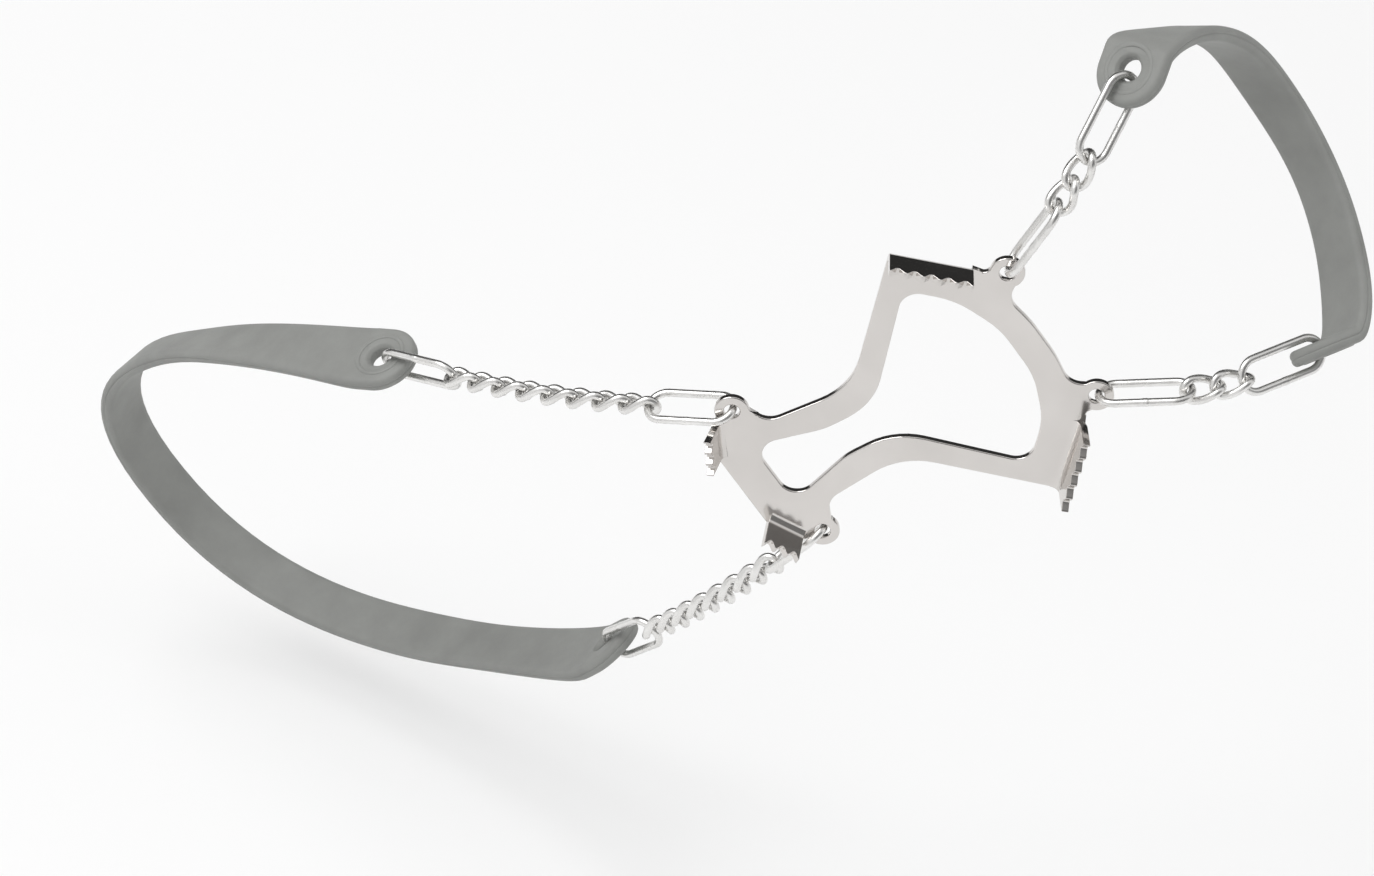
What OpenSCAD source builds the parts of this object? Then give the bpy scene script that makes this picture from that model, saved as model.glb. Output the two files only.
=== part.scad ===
// Shoe traction chain: a stamped steel plate with toothed, bent-down tabs lies under the ball
// of the foot. Four short chains run from its ears to two stretch rubber straps, one over the
// toe and one round the heel.
// Millimetres. X points to the toe, Y to the left and Z up. The origin is the middle of the
// plate's upper face, which bears on the sole.

/* [Plate] */
// Thickness of the plate's sheet steel
plate_t = 1.6; // [1.2:0.1:2.2]
// Distance from the front ear holes to the rear ear holes
ear_pitch = 70; // [66:0.5:78]
// Distance of each ear hole from the plate's middle line
ear_y = 18.6; // [17.6:0.1:22]
// Outer radius of an ear
ear_r = 3.8; // [3.5:0.1:4.4]
// Width of an ear hole beyond the chain wire in it
ear_hole_play = 1.7; // [1.6:0.05:2.2]

/* [Plate outline] */
// Set-back of the front edge behind the front ear holes
front_set = 2.2; // [1.6:0.1:3]
// Width of the front cross bar
front_bar_w = 6.7; // [5:0.1:8.5]
// Half width of the plate at its waist
waist_y = 10.4; // [9.6:0.1:12]
// Width of the bars at the waist and along the shoulders
side_bar_w = 6.2; // [5:0.1:7.4]
// Distance of the waist's front end behind the front ear holes, as a share of the ears' distance
waist_share = 0.637; // [0.6:0.001:0.67]
// Distance of the rear edge behind the rear ear holes
rear_set = 9.3; // [8.6:0.1:11]
// Width of the rear cross bar
rear_bar_w = 8.1; // [6.5:0.1:9]

/* [Toothed tabs] */
// Length of a front tab along its bend
front_tab_len = 18.4; // [16:0.1:21]
// Turn of a front tab away from the plate's long direction
front_tab_turn = 44; // [40:1:48]
// Set-back of a front tab's inner end behind the ear hole
front_tab_set = 5.6; // [5:0.1:6.5]
// Distance of a front tab's inner end outside the ear hole
front_tab_out = 4.8; // [4.4:0.1:5.6]
// Width of the band of sheet between a front tab and the window
shoulder_bar_w = 9; // [7.5:0.1:10]
// Length of a rear tab along its bend
rear_tab_len = 8.8; // [7.8:0.1:9.6]
// Teeth on a front tab
front_teeth = 6; // [4:1:9]
// Teeth on a rear tab
rear_teeth = 4; // [2:1:5]
// Depth of the front teeth below the plate's lower face
front_tab_drop = 8.4; // [6.5:0.1:11]
// Depth of the rear teeth below the plate's lower face
rear_tab_drop = 7.4; // [6:0.1:9]
// Height of the tooth wave from root to tip
tooth_h = 1.6; // [1:0.1:2.2]
// Inside radius of the bends
bend_r = 2; // [1.2:0.1:2.4]
// Angle through which the front tabs are bent down
front_bend_angle = 85; // [80:1:88]
// Angle through which the rear tabs are bent down
rear_bend_angle = 76; // [70:1:86]

/* [Chain] */
// Diameter of the chain wire
wire_d = 1.8; // [1.6:0.05:2]
// Play between wires, and between a wire and a hole's edge
chain_play = 0.25; // [0.15:0.05:0.4]
// Swing each way that the fits leave room for at each joint
swing = 10; // [6:1:12]
// Inside length of a short twisted link
short_inner = 6.85; // [6.2:0.05:8]
// Inside width of a short twisted link
short_width = 3; // [2.8:0.05:3.8]
// Inside length of a long straight link
long_inner = 18.5; // [15:0.1:22]
// Inside width of a long straight link
long_width = 5.7; // [5.5:0.1:7]
// Short links in a front chain
front_short = 2; // [1:1:4]
// Short links in a rear chain
rear_short = 8; // [6:1:10]
// Outward heading of a front chain from the plate's long direction
front_heading = 27; // [22:1:32]
// Outward heading of a rear chain from the plate's long direction
rear_heading = 20; // [16:1:25]
// Climb of a front chain's first link
front_climb_first = -2; // [-4:1:4]
// Climb of a front chain's last link
front_climb_last = 31; // [24:1:34]
// Climb of a rear chain's first link
rear_climb_first = 20; // [16:1:24]
// Climb of a rear chain's last link
rear_climb_last = 34; // [28:1:38]
// Lean of a rear chain's first link away from upright
rear_start_lean = 15; // [8:1:18]
// Lean of a front chain's last link below level
front_link_lean = 20; // [14:1:26]
// Lean of a rear chain's last link below level
rear_link_lean = 14; // [8:1:20]

/* [Straps] */
// Radius of a strap's round end
tab_r = 8.2; // [7.6:0.1:9.2]
// Thickness of a strap's round end
tab_t = 3.6; // [3.2:0.1:3.8]
// Diameter of the hole through a strap's round end
tab_hole_d = 5.2; // [4.8:0.1:5.6]
// Width of the chamfer at both ends of a strap hole
hole_chamfer = 0.8; // [0.5:0.1:1.1]
// Height of the moulded ridge round a strap hole
ridge_h = 0.3; // [0.2:0.05:0.4]
// Radius of the moulded ridge round a strap hole
ridge_r = 5.4; // [4.6:0.1:6.2]
// Droop of the toe strap's round ends below level
toe_droop = 39; // [34:1:44]
// Droop of the heel strap's round ends below level
heel_droop = 14; // [8:1:20]
// Thickness of the strap bands
band_t = 3.4; // [2.8:0.1:3.8]
// Width of the toe strap at its middle
toe_band_w = 13; // [11:0.5:15]
// Width of the heel strap at its middle
heel_band_w = 12; // [10.5:0.5:15]
// Width of both straps where they leave their round ends
end_band_w = 15.2; // [12:0.1:15.6]
// Reach of the toe strap's middle ahead of its holes
toe_reach = 10.2; // [7:0.1:13]
// Rise of the toe strap's middle above its holes
toe_rise = 40.6; // [36:0.1:48]
// Reach of the heel strap's middle behind its holes
heel_reach = 103; // [92:1:112]
// Rise of the heel strap's middle above its holes
heel_rise = 82.6; // [72:0.1:92]

/* [Hidden] */
// Step of the arcs in the plate's outline, degrees
arc_step = 7;
// Flat half width and corner radius of the front edge, then of the window's front edge
front_bow = [5, 25];
window_bow = [7, 20];
// Hollows beside the ears and the front tabs: run along the plate, run across it, radius
front_hollow = [1.2, 5.8, 4.5];
outer_hollow = [1.5, 2.6, 1.2];
rear_hollow = [5.4, 1.8, 4.5];
// Directions in which the outline enters and leaves an ear, and how far inside the ear's edge
front_ear_cut = [-63, 111];
rear_ear_cut = [-12, 168];
ear_bite_share = 0.78;
// Radius of the waist's curves, and set-in of the window's waist at its front and rear, as shares of
// the ears' distance
waist_r_share = 0.228;
waist_lead_share = [0.03, 0.214];
// Radius of the window's corners, widening of its rear end and trims of its shoulders
window_corner_r = 4.2;
rear_flare = 4.5;
shoulder_trim = [2, 5];
// Set-back and set-in of a rear tab's outer end from the ear hole
rear_tab_set = [5.2, 0.6];
// Lap of the sheet over the ends of a tab beside it, and reach of the bends past the plate's edge
tab_lap = 0.2;
bend_reach = 0.5;
// Steps along one tooth of the tooth wave
tooth_steps = 8;
// Overlap of joined bodies
joined = 1.4;
// Sides of the chain wire and rings along a short link
wire_sides = 10;
link_rings = 28;
// Rings along half of a strap band and points on each quarter of its section
band_rings = 16;
edge_steps = 2;
// Turn of the strap bands in the plane of their round ends
toe_turn = -9;
heel_turn = -9;
// Lean of the straps' middles, away from straight up at the toe and straight back at the heel
toe_lean = 28;
heel_lean = 42;
// Start of a band beyond its hole, and the pull of the handles at its end and its middle
band_start = 4;
toe_pull = [3, 20];
heel_pull = [8, 58];
// Handles that draw the bands round the shoe's sides, as shares of the reach, the width and the rise
toe_side_share = [1.6, 0.71, 0.6];
heel_side_share = [0.44, 1.12, 0.47];
// Share of its half in which a band rolls from its end's slant to its middle's
toe_roll_share = 1;
heel_roll_share = 0.6;
// Flat left on a band's edges
edge_flat = 0.4;
// Step in which a wire's direction is taken, as a share of its length round
dir_step_share = 0.004;

ear_x = ear_pitch / 2;
wire_r = wire_d / 2;
ear_hole_d = wire_d + ear_hole_play;
long_bow_r = (long_width + wire_d) / 2;
short_bow_r = (short_width + wire_d) / 2;
chain_z = -plate_t / 2;
steel = [0.84, 0.82, 0.80];
bright_wire = [0.88, 0.88, 0.87];
rubber = [0.57, 0.58, 0.56];

ENDS = ["front", "rear"];
SIDES = ["left", "right"];

// Vectors
function unit(v) = v / norm(v);
function turned(v, a) = [v.x * cos(a) - v.y * sin(a), v.x * sin(a) + v.y * cos(a)];
function about(v, axis, a) = v * cos(a) + cross(axis, v) * sin(a) + axis * (axis * v) * (1 - cos(a));
function mix(a, b, s) = a * (1 - s) + b * s;
function smooth(s) = s * s * (3 - 2 * s);
function flipped(v) = [v.x, -v.y, v.z];

// Outlines whose corners [x, y, radius] are rounded by arcs
function corner_arc(p, q, s, r) =
    let (
        a = unit(p - q),
        b = unit(s - q),
        half = acos(a * b) / 2,
        centre = q + unit(a + b) * r / sin(half),
        start = q + a * r / tan(half) - centre,
        sweep = (180 - 2 * half) * sign(cross(-a, b)),
        steps = max(2, ceil(abs(sweep) / arc_step))
    )
    [for (i = [0:steps]) centre + turned(start, sweep * i / steps)];
function flat(p) = [p[0], p[1]];
function rounded(pts) =
    let (n = len(pts))
    [for (i = [0:n - 1])
        let (p = flat(pts[(i + n - 1) % n]), q = flat(pts[i]), s = flat(pts[(i + 1) % n]), r = pts[i][2])
        each (r > 0 ? corner_arc(p, q, s, r) : [q])];
function both_sides(half) =
    concat(half, [for (i = [len(half) - 1:-1:0]) [half[i][0], -half[i][1], half[i][2]]]);

// Plate: ends of the tabs' bends, then the outline and the window
front_tab_in = [ear_x - front_tab_set, ear_y + front_tab_out];
front_tab_dir = [-cos(front_tab_turn), sin(front_tab_turn)];
front_tab_end = front_tab_in + front_tab_dir * front_tab_len;
front_tab_normal = [sin(front_tab_turn), cos(front_tab_turn)];
rear_tab_out = [-ear_x - rear_tab_set.x, ear_y - rear_tab_set.y];
rear_tab_run = rear_set - rear_tab_set.x;
rear_tab_in = rear_tab_out - [rear_tab_run, sqrt(pow(rear_tab_len, 2) - pow(rear_tab_run, 2))];
rear_tab_angle = atan2(rear_tab_out.y - rear_tab_in.y, rear_tab_out.x - rear_tab_in.x);
rear_tab_normal = [-sin(rear_tab_angle), cos(rear_tab_angle)];
rear_tab_dir = [cos(rear_tab_angle), sin(rear_tab_angle)];
front_lap = front_tab_in + front_tab_dir * tab_lap;
rear_lap_out = rear_tab_out - rear_tab_dir * tab_lap;
rear_lap_in = rear_tab_in + rear_tab_dir * tab_lap;
bend_back = bend_r + plate_t - bend_reach;
front_edge_x = ear_x - front_set;
waist_x = ear_x - waist_share * ear_pitch;
waist_r = waist_r_share * ear_pitch;
waist_lead = waist_lead_share * ear_pitch;
window_y = waist_y - side_bar_w;
shoulder_in = front_tab_in - front_tab_normal * shoulder_bar_w + front_tab_dir * shoulder_trim[0];
shoulder_end = front_tab_end - front_tab_normal * shoulder_bar_w - front_tab_dir * shoulder_trim[1];

function with_r(p, r) = [p.x, p.y, r];
function on_ear(end, a) = [forward(end) * ear_x, ear_y, 0] + ear_r * ear_bite_share * [cos(a), sin(a), 0];
outline = both_sides([
    [front_edge_x, front_bow.x, front_bow.y],
    [front_edge_x - front_hollow.x, ear_y - front_hollow.y, front_hollow.z],
    on_ear("front", front_ear_cut[0]),
    on_ear("front", front_ear_cut[1]),
    [front_tab_in.x + outer_hollow.x, ear_y + outer_hollow.y, outer_hollow.z],
    with_r(front_lap, 0),
    with_r(front_lap - front_tab_normal * bend_back, 0),
    with_r(front_tab_end - front_tab_normal * bend_back, 0),
    [waist_x, waist_y, waist_r],
    [-ear_x + rear_hollow.x, waist_y + rear_hollow.y, rear_hollow.z],
    on_ear("rear", rear_ear_cut[0]),
    on_ear("rear", rear_ear_cut[1]),
    with_r(rear_lap_out, 0),
    with_r(rear_lap_out - rear_tab_normal * bend_back, 0),
    with_r(rear_lap_in - rear_tab_normal * bend_back, 0),
    with_r(rear_lap_in, 0)
]);
window = both_sides([
    [front_edge_x - front_bar_w, window_bow.x, window_bow.y],
    with_r(shoulder_in, window_bow.y),
    with_r(shoulder_end, window_corner_r),
    [waist_x + waist_lead.x, window_y, waist_r],
    [-ear_x + waist_lead.y, window_y, waist_r],
    [-ear_x - rear_set + rear_bar_w, window_y + rear_flare, window_corner_r]
]);

// Chains: directions, ends and turns of the links, worked out from the ear to the strap
function link_count(end) = 2 + (end == "front" ? front_short : rear_short);
function link_name(end, side, i) = str(end, "_", side, "_link_", i);
function is_long(end, i) = i == 0 || i == link_count(end) - 1;
function link_span(end, i) = (is_long(end, i) ? long_inner : short_inner) + wire_d;
function forward(end) = end == "front" ? 1 : -1;
function left(side) = side == "left" ? 1 : -1;
function climb(end, i) =
    let (s = i / (link_count(end) - 1))
    end == "front" ? mix(front_climb_first, front_climb_last, s) : mix(rear_climb_first, rear_climb_last, s);
function level_dir(end) =
    let (a = end == "front" ? front_heading : rear_heading)
    [forward(end) * cos(a), sin(a), 0];
function link_dir(end, i) = level_dir(end) * cos(climb(end, i)) + [0, 0, sin(climb(end, i))];
function ear_hole(end) = [forward(end) * ear_x, ear_y, chain_z];
function ear_seat(end) =
    let (tilt = abs(climb(end, 0)), reach = plate_t / 2 + long_bow_r * sin(tilt))
    long_bow_r * cos(tilt) - sqrt(pow(long_width / 2 - chain_play, 2) - pow(reach, 2));
function hook(end, i) = (wire_d + chain_play) * unit(link_dir(end, i - 1) + link_dir(end, i));
function link_start(end, i) =
    i == 0
        ? ear_hole(end) + level_dir(end) * (ear_hole_d / 2 - ear_seat(end))
        : link_end(end, i - 1) - hook(end, i);
function link_end(end, i) = link_start(end, i) + link_dir(end, i) * link_span(end, i);
function side_of(end, i) = unit(cross(link_dir(end, i), [0, 0, 1]));
function up_of(end, i) = cross(side_of(end, i), link_dir(end, i));
function link_lean(end, i) =
    let (s = i / (link_count(end) - 1))
    end == "front" ? mix(0, -front_link_lean, s) : mix(rear_start_lean, rear_link_lean, s);
function roll(end, i) = (i == 0 ? 0 : 90) + link_lean(end, i);

// Straps: the hole, the outward normal and the frame of the left round end, whose chamfered
// hole sits in the bow of the last link
strap_seat = long_bow_r + tab_t * sin(swing) / 2
    - sqrt(pow(long_width / 2 - chain_play, 2) - pow(tab_t / 2, 2));
function last(end) = link_count(end) - 1;
function tab_dir(end) = about(link_dir(end, last(end)), tab_normal(end), strap_turn(end));
function strap_turn(end) = end == "front" ? toe_turn : heel_turn;
function tab_droop(end) = end == "front" ? toe_droop : heel_droop;
function tab_normal(end) =
    let (i = last(end))
    -forward(end) * side_of(end, i) * cos(tab_droop(end)) - up_of(end, i) * sin(tab_droop(end));
function tab_hole(end) =
    let (i = last(end))
    link_end(end, i) + link_dir(end, i) * (tab_hole_d / 2 + hole_chamfer - strap_seat);
function strap_mid(end) =
    let (h = tab_hole(end))
    end == "front" ? [h.x + toe_reach, 0, h.z + toe_rise] : [h.x - heel_reach, 0, h.z + heel_rise];
function mid_normal(end) =
    end == "front" ? [sin(toe_lean), 0, cos(toe_lean)] : [-cos(heel_lean), 0, sin(heel_lean)];
function strap_side(end) =
    let (h = tab_hole(end), mid = strap_mid(end), share = end == "front" ? toe_side_share : heel_side_share)
    [mix(h.x, mid.x, share.x), h.y * share.y, mix(h.z, mid.z, share.z)];
function strap_handles(end) =
    let (
        h = tab_hole(end),
        mid = strap_mid(end),
        pull = end == "front" ? toe_pull : heel_pull
    )
    [
        h + tab_dir(end) * band_start,
        h + tab_dir(end) * (band_start + pull[0]),
        strap_side(end),
        mid + [0, pull[1], 0],
        mid
    ];

// A smooth curve drawn by a run of handles, and its direction
function curve_at(b, s) =
    len(b) == 1 ? b[0] : curve_at([for (i = [0:len(b) - 2]) mix(b[i], b[i + 1], s)], s);
function curve_dir(b, s) = unit(curve_at([for (i = [0:len(b) - 2]) b[i + 1] - b[i]], s));

// Tubes and bands are rings of points joined by triangles
function ring_faces(rings, sides, closed) =
    [for (k = [0:rings - (closed ? 1 : 2)], j = [0:sides - 1])
        let (
            a = k * sides + j,
            b = k * sides + (j + 1) % sides,
            c = ((k + 1) % rings) * sides + j,
            d = ((k + 1) % rings) * sides + (j + 1) % sides
        )
        each [[a, c, b], [b, c, d]]];
function fan(first, sides, back) =
    [for (j = [1:sides - 2]) back ? [first, first + j + 1, first + j] : [first, first + j, first + j + 1]];

// Middle line of a link lying along X, as [along, across] at a share s of its length round
function loop_at(span, half_w, s) =
    let (
        run = span - 2 * half_w,
        bow = PI * half_w,
        d = s * 2 * (run + bow),
        a = (d < bow ? d : d - bow - run) / half_w * 180 / PI
    )
    d < bow
        ? [half_w - half_w * sin(a), half_w * cos(a)]
        : d < bow + run
            ? [half_w + d - bow, -half_w]
            : d < 2 * bow + run
                ? [half_w + run + half_w * sin(a), -half_w * cos(a)]
                : [half_w + run - (d - 2 * bow - run), half_w];
function twisted_at(span, half_w, s) =
    let (p = loop_at(span, half_w, s % 1), a = -90 * smooth(p[0] / span))
    [p[0], p[1] * cos(a), p[1] * sin(a)];
function twisted_normal(span, half_w, s) =
    let (a = -90 * smooth(loop_at(span, half_w, s % 1)[0] / span))
    [0, -sin(a), cos(a)];

// A short link of wire, twisted a quarter turn between its two bows
module twisted_link(span, half_w) {
    pts = [for (k = [0:link_rings - 1])
        let (
            s = k / link_rings,
            ahead = twisted_at(span, half_w, s + dir_step_share),
            behind = twisted_at(span, half_w, s + 1 - dir_step_share),
            t = unit(ahead - behind),
            n = unit(cross(twisted_normal(span, half_w, s), t)),
            b = cross(t, n)
        )
        each [for (j = [0:wire_sides - 1])
            twisted_at(span, half_w, s)
                + wire_r * (n * cos(360 * j / wire_sides) + b * sin(360 * j / wire_sides))]];
    polyhedron(pts, ring_faces(link_rings, wire_sides, true));
}

// A long straight link: two legs and two half-round bows
module straight_link(span, half_w) {
    for (side = [-1, 1])
        translate([half_w, side * half_w, 0])
            rotate([0, 90, 0])
                cylinder(r = wire_r, h = span - 2 * half_w, $fn = 48);
    for (end = [0, 1])
        translate([end == 0 ? half_w : span - half_w, 0, 0])
            rotate([0, 0, end == 0 ? 90 : -90])
                rotate_extrude(angle = 180, $fn = 96)
                    translate([half_w, 0])
                        circle(r = wire_r, $fn = 48);
}

// Moves a shape drawn along X, with its broad side in the XY plane, to a frame in space
module framed(origin, x_axis, y_axis) {
    z_axis = cross(x_axis, y_axis);
    multmatrix([
        [x_axis.x, y_axis.x, z_axis.x, origin.x],
        [x_axis.y, y_axis.y, z_axis.y, origin.y],
        [x_axis.z, y_axis.z, z_axis.z, origin.z],
        [0, 0, 0, 1]
    ])
        children();
}

// One link of a chain. Both sides' twisted links have the same hand, as cut from one chain
module chain_link(end, side, i) {
    on_right = left(side) < 0;
    dir = on_right ? flipped(link_dir(end, i)) : link_dir(end, i);
    start = on_right ? flipped(link_start(end, i)) : link_start(end, i);
    level = unit(cross(dir, [0, 0, 1]));
    up = cross(level, dir);
    a = left(side) * (roll(end, i) - (i == 0 ? 0 : 90)) + (i == 0 ? 0 : 90);
    color(bright_wire)
        framed(start, dir, up * cos(a) + level * sin(a))
            if (is_long(end, i))
                straight_link(link_span(end, i), long_bow_r);
            else
                twisted_link(link_span(end, i), short_bow_r);
}

// Tooth line of a tab's blade as [along, down]: a wave with a tip at each end
function tooth_line(length, teeth, blade) =
    let (steps = (teeth - 1) * tooth_steps)
    [for (i = [0:steps]) [length * i / steps, blade - tooth_h * (1 - cos(360 * i / tooth_steps)) / 2]];

// A tab bent down along X, with its teeth below and its outer face towards Y
module toothed_tab(length, teeth, drop, angle) {
    axis_z = -plate_t - bend_r;
    bent_r = bend_r + plate_t;
    blade = (drop - bend_r + bend_r * cos(angle)) / sin(angle);
    down = [cos(angle), -sin(angle)] * (blade + joined);
    steps = ceil(angle / arc_step);
    outer = [for (i = [0:steps])
        let (a = angle * i / steps)
        bent_r * [sin(a), cos(a)] + [0, axis_z]];
    inner = [for (i = [steps:-1:0])
        let (a = angle * i / steps)
        bend_r * [sin(a), cos(a)] + [0, axis_z]];
    difference() {
        rotate([90, 0, 90])
            linear_extrude(length)
                polygon(concat(
                    [[-joined, -plate_t], [-joined, 0]],
                    outer,
                    [outer[steps] + down, inner[0] + down],
                    inner
                ));
        translate([0, 0, axis_z])
            rotate([-angle, 0, 0])
                translate([0, 0, bend_r - plate_t])
                    linear_extrude(3 * plate_t)
                        polygon(concat(
                            [[-joined, blade + 2 * joined], [-joined, blade]],
                            tooth_line(length, teeth, blade),
                            [[length + joined, blade], [length + joined, blade + 2 * joined]]
                        ));
    }
}

// The steel plate: stamped outline and window, four drilled ears and four toothed tabs
module traction_plate() {
    color(steel)
        difference() {
            union() {
                translate([0, 0, -plate_t])
                    linear_extrude(plate_t)
                        difference() {
                            union() {
                                polygon(rounded(outline));
                                for (x = [-ear_x, ear_x], y = [-ear_y, ear_y])
                                    translate([x, y])
                                        circle(r = ear_r, $fn = 64);
                            }
                            polygon(rounded(window));
                        }
                for (side = [0, 1])
                    mirror([0, side, 0]) {
                        translate(front_tab_end - front_tab_normal * bend_back)
                            rotate(-front_tab_turn)
                                toothed_tab(front_tab_len, front_teeth, front_tab_drop, front_bend_angle);
                        translate(rear_tab_in - rear_tab_normal * bend_back)
                            rotate(rear_tab_angle)
                                toothed_tab(rear_tab_len, rear_teeth, rear_tab_drop, rear_bend_angle);
                    }
            }
            for (x = [-ear_x, ear_x], y = [-ear_y, ear_y])
                translate([x, y, -2 * plate_t])
                    cylinder(d = ear_hole_d, h = 3 * plate_t, $fn = 64);
        }
}

// Round end of a strap, with its hole and the ridge moulded round it on the outer face
module strap_end() {
    cylinder(r = tab_r, h = tab_t, center = true, $fn = 96);
    translate([0, 0, tab_t / 2])
        rotate_extrude($fn = 96)
            translate([ridge_r, 0])
                circle(r = ridge_h, $fn = 24);
}

// Hole of a strap's round end, chamfered on both faces
module strap_hole() {
    hole_r = tab_hole_d / 2;
    flare = hole_chamfer + joined;
    cylinder(r = hole_r, h = 3 * tab_t, center = true, $fn = 64);
    for (face = [0, 1])
        mirror([0, 0, face])
            translate([0, 0, tab_t / 2 - hole_chamfer])
                cylinder(r1 = hole_r, r2 = hole_r + flare, h = flare, $fn = 64);
}

// Section of a band, [across, through], with round edges
function band_section(w) =
    let (r = (band_t - edge_flat) / 2)
    [for (q = [0:3], e = [0:edge_steps])
        let (a = 90 * (q + e / edge_steps), sx = q == 0 || q == 3 ? 1 : -1, sy = q < 2 ? 1 : -1)
        [sx * (w / 2 - r) + r * cos(a), sy * (band_t / 2 - r) + r * sin(a)]];

// Rings of a strap's left half, from the round end to the middle
function band_ring(end, w_mid, k) =
    let (
        b = strap_handles(end),
        s = k / band_rings,
        t = curve_dir(b, s),
        rolled = smooth(min(1, s / (end == "front" ? toe_roll_share : heel_roll_share))),
        n0 = mix(tab_normal(end), mid_normal(end), rolled),
        n = unit(n0 - t * (n0 * t)),
        across = cross(n, t),
        section = band_section(mix(end_band_w, w_mid, smooth(min(1, 2 * s))))
    )
    [for (p = section) curve_at(b, s) + across * p[0] + n * p[1]];

module strap(end, w_mid) {
    sides = 4 * (edge_steps + 1);
    left_rings = [for (k = [0:band_rings]) band_ring(end, w_mid, k)];
    right_rings = [for (k = [band_rings - 1:-1:0])
        [for (p = left_rings[k]) flipped(p)]];
    rings = concat(left_rings, right_rings);
    count = len(rings);
    color(rubber)
        difference() {
            union() {
                polyhedron(
                    [for (r = rings) each r],
                    concat(
                        ring_faces(count, sides, false),
                        fan(0, sides, false),
                        fan((count - 1) * sides, sides, true)
                    )
                );
                for (side = [0, 1])
                    mirror([0, side, 0])
                        framed(tab_hole(end), tab_dir(end), cross(tab_normal(end), tab_dir(end)))
                            strap_end();
            }
            for (side = [0, 1])
                mirror([0, side, 0])
                    framed(tab_hole(end), tab_dir(end), cross(tab_normal(end), tab_dir(end)))
                        strap_hole();
        }
}

// The stretch strap over the toe
module toe_strap() {
    strap("front", toe_band_w);
}

// The stretch strap round the heel
module heel_strap() {
    strap("rear", heel_band_w);
}

traction_plate();
toe_strap();
heel_strap();
for (end = ENDS, side = SIDES, i = [1:link_count(end)])
    chain_link(end, side, i - 1);
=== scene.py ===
import math

import bmesh
import bpy
from mathutils import Matrix, Vector


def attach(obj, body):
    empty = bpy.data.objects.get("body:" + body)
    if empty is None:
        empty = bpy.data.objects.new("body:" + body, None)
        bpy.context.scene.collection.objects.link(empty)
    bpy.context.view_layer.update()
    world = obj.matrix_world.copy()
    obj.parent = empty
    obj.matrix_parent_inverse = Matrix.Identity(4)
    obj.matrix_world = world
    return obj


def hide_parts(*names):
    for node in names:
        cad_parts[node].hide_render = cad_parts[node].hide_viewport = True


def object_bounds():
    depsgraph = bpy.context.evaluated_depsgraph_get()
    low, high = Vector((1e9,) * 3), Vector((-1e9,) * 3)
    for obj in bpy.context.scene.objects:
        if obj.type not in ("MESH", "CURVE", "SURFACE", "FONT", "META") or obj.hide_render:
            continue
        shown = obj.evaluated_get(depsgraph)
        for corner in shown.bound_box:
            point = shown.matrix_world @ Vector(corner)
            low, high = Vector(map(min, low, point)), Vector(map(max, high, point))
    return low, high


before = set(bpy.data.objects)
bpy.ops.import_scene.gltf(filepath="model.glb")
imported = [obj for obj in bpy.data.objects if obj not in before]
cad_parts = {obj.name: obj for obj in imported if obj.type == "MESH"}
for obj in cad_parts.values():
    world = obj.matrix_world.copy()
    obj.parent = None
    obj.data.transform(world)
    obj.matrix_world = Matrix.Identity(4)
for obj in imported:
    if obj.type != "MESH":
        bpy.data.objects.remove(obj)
cad_low, cad_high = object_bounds()

# Traction plate: one stamping of bright stainless sheet, 1.6 mm thick, with four drilled ears
# and four toothed tabs bent down at its edge. It was tumbled after stamping, so its edges are
# a little round and its faces satin smooth, with fine scratches.
MM = 0.001
SHEET_T = 1.6
RIM_ROUND, TOOTH_ROUND, ROUND_STEPS = 0.32, 0.12, 4
ROOT_DEPTH, NOTCH_CLEAR = 1.5 * SHEET_T, 0.5
SHORT_EDGE, LEVEL_WITHIN = 0.1, 0.02
FLAT_DEGREES, HARD_DEGREES, SHARP_DEGREES = 1, 40, 50
FLAT_WEIGHT = 100
STEEL_PALE = (0.71, 0.683, 0.66, 1)
STEEL_GREY = (0.635, 0.61, 0.588, 1)


def place_node(tree, kind, at, **values):
    """Adds a shader node at a place in the editor and sets its inputs by name."""
    node = tree.nodes.new(kind)
    node.location = at
    for name, value in values.items():
        node.inputs[name.replace("_", " ")].default_value = value
    return node


def new_material(name):
    """A material, its node tree, its Principled BSDF and the piece's own coordinates."""
    made = bpy.data.materials.new(name)
    made.use_nodes = True
    tree = made.node_tree
    shader = tree.nodes["Principled BSDF"]
    where = place_node(tree, "ShaderNodeTexCoord", (-1300, 0))
    return made, tree, shader, where.outputs["Object"]


def add_socket(group, name, direction, kind, value=None):
    """Adds an input or an output to a node group, with the value that it starts with."""
    made = group.interface.new_socket(name=name, in_out=direction, socket_type=kind)
    if value is not None:
        made.default_value = value


# Fine scratches and soft cloudiness, shared by every metal surface. Each layer of scratches has
# its turn, and the stretch that draws its noise out into lines
SCRATCH_LAYERS = ((0.5, (0.05, 1.0, 1.0)), (-0.9, (1.0, 0.06, 1.0)), (1.9, (0.08, 1.0, 0.7)))
scratched = bpy.data.node_groups.new("fine_scratches", "ShaderNodeTree")
add_socket(scratched, "Vector", "INPUT", "NodeSocketVector")
add_socket(scratched, "Scratch Scale", "INPUT", "NodeSocketFloat", 900.0)
add_socket(scratched, "Cloud Scale", "INPUT", "NodeSocketFloat", 70.0)
add_socket(scratched, "Scratches", "OUTPUT", "NodeSocketFloat")
add_socket(scratched, "Clouds", "OUTPUT", "NodeSocketFloat")
group_in = place_node(scratched, "NodeGroupInput", (-900, 0))
group_out = place_node(scratched, "NodeGroupOutput", (500, 0))
layers = []
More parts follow.
